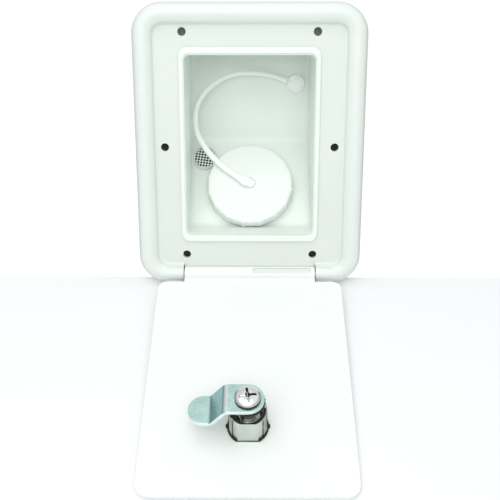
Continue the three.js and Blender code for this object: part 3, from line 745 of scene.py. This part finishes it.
def make_door():
    panel = rounded_rect(-DOOR_HALF_W, DOOR_HALF_W, DOOR_FROM, DOOR_TO, 5, 7, steps=16)
    shape = stack(panel, rounded_levels(-DOOR_IN, DOOR_T - DOOR_IN, 0.35, 0.8, 5), TO_WALL)
    knuckle = rod(KNUCKLE_R, -KNUCKLE_X, KNUCKLE_X, 0, 0, 0.35, 96)
    tongue = fillet([(DOOR_IN, 0), (DOOR_IN, 8.6), (DOOR_IN - DOOR_T, 8.6), (DOOR_IN - DOOR_T, 0)], 4, True)
    join(knuckle, prism(tongue, -KNUCKLE_X, KNUCKLE_X))
    # fillets where the tongue leaves the knuckle
    corner_z = KNUCKLE_R * 0.5
    for side, face, r in ((1, DOOR_IN, 1.5), (-1, DOOR_IN - DOOR_T, 2.2)):
        web = [(face - side * 0.4, corner_z), (face - side * 0.4, KNUCKLE_R + r)]
        web += [
            (face + side * (r - r * math.sin(a)), KNUCKLE_R + r - 0.2 - (r - r * (1 - math.cos(a))) * 1.0)
            for a in (math.pi / 2 * (1 - k / 8) for k in range(9))
        ]
        join(knuckle, prism(web, -KNUCKLE_X, KNUCKLE_X))
    for s in (-1, 1):
        bore = sorted((s * (KNUCKLE_X - 9), s * (KNUCKLE_X + 1)))
        cut(knuckle, rod(PIN_BORE_R, *bore, 0, 0, 0.1, 32))
    join(shape, knuckle)
    hole = lock_outline(GAP)
    flared = [(0, -DOOR_T - 2), (0, -0.3), (-0.1, -0.1), (-0.3, 0.02), (-0.3, 2)]
    cut(shape, stack(hole, flared, LOCK_HOLE))
    shape.data.transform(LEAF)
    slot = rounded_rect(*GROOVE_X, -1.8, 1.8, 1.5)
    across = Matrix.Translation(HINGE) @ Matrix.Rotation(math.radians(45), 4, "X")
    floor, top = KNUCKLE_R - 1.3, KNUCKLE_R + 3
    cut(shape, stack(slot, [(0.5, floor), (0.15, floor + 0.15), (0, floor + 0.4), (0, top)], across))
    return shape


def in_groove(v, _):
    inside = GROOVE_X[0] - 0.1 < v.x < GROOVE_X[1] + 0.1
    return inside and (v - HINGE).yz.length < KNUCKLE_R - 0.1 and v.z > HINGE.z


leaf = piece(make_door(), "Door", "door", "door_plastic", "door")
# painted shade: the knuckle's ends are near-black, and the finger groove takes the darker plastic
paint(leaf, SHADED, IN_PLACE, across_x_at(KNUCKLE_X))
paint(leaf, PAINTED_SHADE_PLASTIC, IN_PLACE, in_groove)


# ---- lock ----------------------------------------------------------------------------------------
BARREL_H, PLUG_R, FACE, STOP_FLOOR = 15.0, 6.2, -DOOR_T, 10.3
CAM_TOP, CAM_TIP, CAM_T, CAM_W, CAM_REACH = 25.0, 15.0, 2.0, 16.0, 29.1
SCREW_SEAT = CAM_TOP + GAP


def make_barrel():
    """A double-D, threaded near the ends of its X axis only, with the head and the wells for plug and cam."""
    segments, pitch, deep = 144, 1.0, 0.42
    rows = [0.2 + (BARREL_H - 0.6) * k / 100 for k in range(101)]
    verts, faces = [], []
    for z in [FACE + 1.2] + rows + [BARREL_H]:
        for k in range(segments):
            share = (z / pitch - k / segments) % 1.0
            ridge = 1 - abs(2 * share - 1)
            aside = math.degrees(math.asin(abs(math.sin(TAU * k / segments))))  # from the X axis
            r = BARREL_R - deep * (1 - ridge) * max(0.0, min(1.0, (40 - aside) / 6))
            if z >= BARREL_H:
                r = 8.9
            if z < 0.2:
                r = 9.3
            a = TAU * k / segments
            verts.append((r * math.cos(a), r * math.sin(a), z))
    count = len(rows) + 2
    for j in range(count - 1):
        for k in range(segments):
            m = (k + 1) % segments
            faces.append([j * segments + k, j * segments + m, (j + 1) * segments + m, (j + 1) * segments + k])
    faces += [list(range(segments))[::-1], list(range((count - 1) * segments, count * segments))]
    shape = body(verts, faces)
    cut(shape, box(-20, 20, BARREL_FLAT, 20, -20, 30), box(-20, 20, -20, -BARREL_FLAT, -20, 30))
    head = lathe([(0, FACE - 3), (9.6, FACE - 3, 0.8), (11.2, FACE - 1.2, 0.8), (11.2, FACE - GAP, 0.2),
                  (0, FACE - GAP)], 96, 5)
    neck = stack(lock_outline(-0.2), [(0, FACE - 1), (0, FACE + 2)])
    join(shape, neck, head)
    cut(shape, lathe([(0, FACE - 5), (PLUG_R + GAP, FACE - 5), (PLUG_R + GAP, -1.8), (7.3, -1.8), (7.3, 9.4),
                      (7.2, 9.6), (7.2, BARREL_H, 0.3), (8.2, BARREL_H), (8.2, 30), (0, 30)], 96, 3))
    for turn in (-33, 123):
        spin = Matrix.Rotation(math.radians(turn), 4, "Z")
        join(shape, box(-1.2, 1.2, 5.2, 7.6, STOP_FLOOR - 0.3, 13.4, spin))
    shelf = lathe([(PLUG_R + GAP, 9.4), (7.5, 9.4), (7.5, 10.0), (PLUG_R + GAP, 10.0)], 64, 1)
    join(shape, shelf)
    shape.data.transform(LOCK)
    return shape


def make_plug():
    tail_r, tail_end = 3.7, 21.2
    shape = lathe([
        (0, FACE - 3), (PLUG_R, FACE - 3, 0.5), (PLUG_R, 10, 0.3), (tail_r, 10, 0.3), (tail_r, tail_end, 0.4),
        (0, tail_end),
    ], 72, 4)
    join(shape, box(-1.3, 1.3, 3, 6.9, STOP_FLOOR - 0.4, 13))
    cut(shape, lathe([(0, 12), (2.1, 12), (2.1, 30), (0, 30)], 32, 1))
    cut(shape, box(-1.1, 1.1, -3.8, 3.8, FACE - 5, 8.5))
    for k in range(4):
        middle = -0.9 + 2.5 * k
        cut(shape, box(-2.8, 2.8, -9, 9, middle - 0.8, middle + 0.8))
    shape.data.transform(LOCK)
    return shape


def make_cam():
    """A stamped strip: its middle line is bent twice, and its plan is round at both ends."""
    half, thick = CAM_W / 2, CAM_T / 2
    tip_centre = half - CAM_REACH
    bends = fillet([(half, CAM_TOP - thick), (-10.6, CAM_TOP - thick, 2.6), (-17.8, CAM_TIP - thick, 2.6),
                    (-CAM_REACH, CAM_TIP - thick)], 10)
    strip = []
    for a, b in zip(bends, bends[1:]):
        a, b = Vector(a), Vector(b)
        count = max(1, round((b - a).length / 0.35))
        strip += [a.lerp(b, k / count) for k in range(count)]
    strip = [p for p in strip if tip_centre + 0.2 < p.x < -0.2]
    turns = [math.pi / 2 * k / 24 for k in range(25)]
    near_end = [Vector((half * math.cos(a), CAM_TOP - thick)) for a in turns]
    tip_end = [Vector((tip_centre - half * math.sin(a), CAM_TIP - thick)) for a in turns]
    rows = near_end + strip + tip_end

    def width(x):
        past = max(x, tip_centre - x, 0.0)
        return max(math.sqrt(max(half ** 2 - past ** 2, 0.0)), 0.5)

    verts, faces = [], []
    for i, p in enumerate(rows):
        ahead = (rows[min(i + 1, len(rows) - 1)] - rows[max(i - 1, 0)]).normalized()
        up = Vector((ahead.y, -ahead.x))
        w = width(p.x)
        e = min(0.35, w * 0.6)
        ring = fillet([(w, -thick, e), (w, thick, e), (-w, thick, e), (-w, -thick, e)], 4, True)
        verts += [(p.x + up.x * t, s, p.y + up.y * t) for s, t in ring]
    n = len(verts) // len(rows)
    for j in range(len(rows) - 1):
        for k in range(n):
            m = (k + 1) % n
            faces.append([j * n + k, j * n + m, (j + 1) * n + m, (j + 1) * n + k])
    faces += [list(range(n)), list(range((len(rows) - 1) * n, len(rows) * n))]
    shape = body(verts, faces)
    cut(shape, lathe([(0, 10), (2.3, 10), (2.3, 40), (0, 40)], 32, 1))
    shape.data.transform(LOCK)
    return shape


def make_screw():
    top = SCREW_SEAT
    shape = lathe([(0, 13.5), (1.5, 13.5), (1.8, 14.2), (1.8, top), (6.3, top, 0.25), (6.3, top + 0.9, 0.5),
                   (5.3, top + 1.9, 1.2), (3.0, top + 2.45, 2), (0, top + 2.5)], 96, 6)
    for turn in (0, 90):
        spin = Matrix.Rotation(math.radians(turn + 8), 4, "Z")
        wing = stack(rounded_rect(-4.3, 4.3, -0.62, 0.62, 0.5, steps=4),
                     [(0.5, top + 0.4), (0.3, top + 1.2), (0, top + 1.9), (0, top + 5)], spin)
        cut(shape, wing)
    middle = [(0.9, top + 0.2), (0.3, top + 1.4), (0, top + 2.4), (0, top + 5)]
    cut(shape, stack(circle(1.35, segments=24), middle))
    shape.data.transform(LOCK)
    return shape


barrel = piece(make_barrel(), "LockBarrel", "door", "die_cast", "lock_body")
# painted shade: the well under the cam is near-black, and so are the threads at the barrel's sides
paint(barrel, SHADED, LOCK, lambda v, n: v.xy.length < 7.25 and v.z > 9)
paint(barrel, PAINTED_SHADE_STEEL, LOCK, lambda v, n: v.z > 0 and v.xy.length > 8.9 and abs(n.x) > 0.75)
piece(make_plug(), "LockPlug", "lock_plug", "plug_brass", "lock_plug")


def on_slope(v, n):
    return n.x < -0.6 and v.z > CAM_TIP


def on_upper_bend(v, n):
    return -0.6 < n.x < -0.08 and v.z > CAM_TOP - CAM_T and abs(n.y) < 0.3


def in_upper_recess(v, n):
    return v.xy.length < 4.4 and v.y > 0.3 and SCREW_SEAT + 0.3 < v.z < SCREW_SEAT + 2.3 and n.z < 0.8


cam = piece(make_cam(), "LockCam", "lock_plug", "zinc_plate", "cam")
# painted shade on the cam's slope, and painted highlights on its upper bend and its edges
paint(cam, PAINTED_SHADE_ZINC, LOCK, on_slope)
paint(cam, PAINTED_HIGHLIGHT_ZINC, LOCK, on_upper_bend)
paint(cam, PAINTED_HIGHLIGHT_ZINC, LOCK, lambda v, n: abs(n.z) < 0.45)
screw = piece(make_screw(), "CamScrew", "lock_plug", "plated_screw", "cam_screw")
# painted dark reflection on the head's side band, and painted shade in the upper half of the cross recess
paint(screw, PAINTED_SHADE_STEEL, LOCK, lambda v, n: v.xy.length > 5.9 and v.z < SCREW_SEAT + 0.95)
paint(screw, SHADED, LOCK, in_upper_recess)


# ---- CAD nodes that stay as they are -------------------------------------------------------------
KEPT = {
    "hinge_pin_left": "stainless", "hinge_pin_right": "stainless", "anchor_push_nut": "spring_steel",
    "stud_retainer": "stainless", "spout_gasket": "seal_rubber", "cap_gasket": "seal_rubber",
    "lock_clip": "spring_steel", "toothed_washer": "spring_steel", "wafer_1": "wafer_brass",
    "wafer_2": "wafer_brass", "wafer_3": "wafer_brass", "wafer_4": "wafer_brass",
}
for node, finish in KEPT.items():
    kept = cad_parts[node]
    kept.data.materials.clear()
    kept.data.materials.append(LOOKS[finish])
    for polygon in kept.data.polygons:
        polygon.use_smooth = True
    kept.data.set_sharp_from_angle(angle=math.radians(28))


# ---- studio --------------------------------------------------------------------------------------
FLOOR_BEHIND = 3  # how far the floor runs on behind the frame's back


def make_floor():
    """A table under the frame's lower edge and the door's free edge. It ends just behind the frame."""
    rear, front = Vector((0, 0, -FRAME_H / 2)), LEAF @ Vector((0, DOOR_IN - DOOR_T, DOOR_TO))
    ahead = (front - rear).normalized()
    down = Vector((0, ahead.z, -ahead.y)) * (0.25 if ahead.y > 0 else -0.25)
    down = -down if down.z > 0 else down
    line = [rear + ahead * t + down for t in (1500, 600, 200, 60, -FLOOR_BEHIND)]
    verts = [(x, p.y, p.z) for p in line for x in (-1500, 1500)]
    faces = [[2 * k, 2 * k + 1, 2 * k + 3, 2 * k + 2] for k in range(len(line) - 1)]
    mesh = bpy.data.meshes.new("Floor")
    mesh.from_pydata([tuple(Vector(v) * MM) for v in verts], [], faces)
    floor = bpy.data.objects.new("Floor", mesh)
    bpy.context.collection.objects.link(floor)
    paper = material("Paper", (0.865, 0.878, 0.887), 0.8, tint=0.003, cloud=0.2, grain=0.001, bump=0.02)
    mesh.materials.append(paper)


def make_shade_cards():
    """Painted shade: small dark cards behind the empty screw holes stand in for the shade seen through them.
    Those behind the top two are grey.
    """
    grey = material("PaintedGreyShadeCard", (0.16, 0.18, 0.175), 0.8, tint=0.1, cloud=0.003)
    for look, (x, z) in zip((grey, SHADED, SHADED), SCREW_HOLES):
        for s in (-1, 1):
            hole = Matrix.Translation((s * x, 0, z)) @ TO_WALL
            card = stack(circle(3.2, segments=32), [(0, -2.4), (0, -1.6)], hole)
            card.name = card.data.name = "PaintedShadeCard"
            card.data.transform(Matrix.Scale(MM, 4))
            card.data.materials.append(look)


def area_light(name, at, target, width, height, watts, colour):
    data = bpy.data.lights.new(name, "AREA")
    data.shape, data.size, data.size_y, data.energy, data.color = "RECTANGLE", width, height, watts, colour
    light = bpy.data.objects.new(name, data)
    light.location = at
    light.rotation_euler = (Vector(at) - Vector(target)).to_track_quat("Z", "Y").to_euler()
    bpy.context.collection.objects.link(light)


def make_world(strength):
    """White behind the hatch. The room is brightest above and in front, and metal mirrors its darker back."""
    world = bpy.data.worlds.new("Studio")
    bpy.context.scene.world = world
    world.use_nodes = True
    nodes, links = world.node_tree.nodes, world.node_tree.links
    nodes.clear()
    where, path = nodes.new("ShaderNodeTexCoord"), nodes.new("ShaderNodeLightPath")
    toward = nodes.new("ShaderNodeVectorMath")
    toward.operation = "DOT_PRODUCT"
    toward.inputs[1].default_value = (0, -0.5, 0.866)
    rise = nodes.new("ShaderNodeMapRange")
    rise.inputs["From Min"].default_value, rise.inputs["From Max"].default_value = -1, 1
    links.new(where.outputs["Generated"], toward.inputs[0])
    links.new(toward.outputs["Value"], rise.inputs["Value"])

    def room(*levels):
        ramp, light = nodes.new("ShaderNodeValToRGB"), nodes.new("ShaderNodeBackground")
        stops = ramp.color_ramp.elements
        stops[1].position, stops[1].color = 1.0, (1.0, 1.0, 1.0, 1)
        for k, (position, level) in enumerate(levels):
            stop = stops[0] if k == 0 else stops.new(position)
            stop.color = (0.97 * level, 1.03 * level, 1.01 * level, 1)
        links.new(rise.outputs["Result"], ramp.inputs["Fac"])
        links.new(ramp.outputs["Color"], light.inputs["Color"])
        light.inputs["Strength"].default_value = strength
        return light

    def either(ray, no, yes):
        mix = nodes.new("ShaderNodeMixShader")
        links.new(path.outputs[ray], mix.inputs["Fac"])
        links.new(no.outputs[0], mix.inputs[1])
        links.new(yes.outputs[0], mix.inputs[2])
        return mix

    seen = nodes.new("ShaderNodeBackground")
    seen.inputs["Color"].default_value = (1, 1, 1, 1)
    seen.inputs["Strength"].default_value = 1.05
    lit = either("Is Glossy Ray", room((0, 0.3), (0.5, 0.5)), room((0, 0.1), (0.37, 0.13), (0.5, 0.36)))
    out = nodes.new("ShaderNodeOutputWorld")
    links.new(either("Is Camera Ray", lit, seen).outputs[0], out.inputs["Surface"])


make_floor()
make_shade_cards()
make_world(0.93)
area_light("Front", (-0.06, -1.0, 0.24), (0, 0, 0), 0.8, 0.3, 2.0, (1.0, 1.0, 0.99))
area_light("Key", (-0.10, -0.85, 0.55), (0, -0.03, -0.03), 0.8, 0.3, 1.9, (1.0, 1.0, 0.99))
area_light("Top", (-0.12, -0.50, 0.95), (0, -0.05, -0.03), 0.7, 0.4, 1.3, (0.98, 1.0, 0.99))
bpy.context.scene.view_settings.view_transform = "Standard"
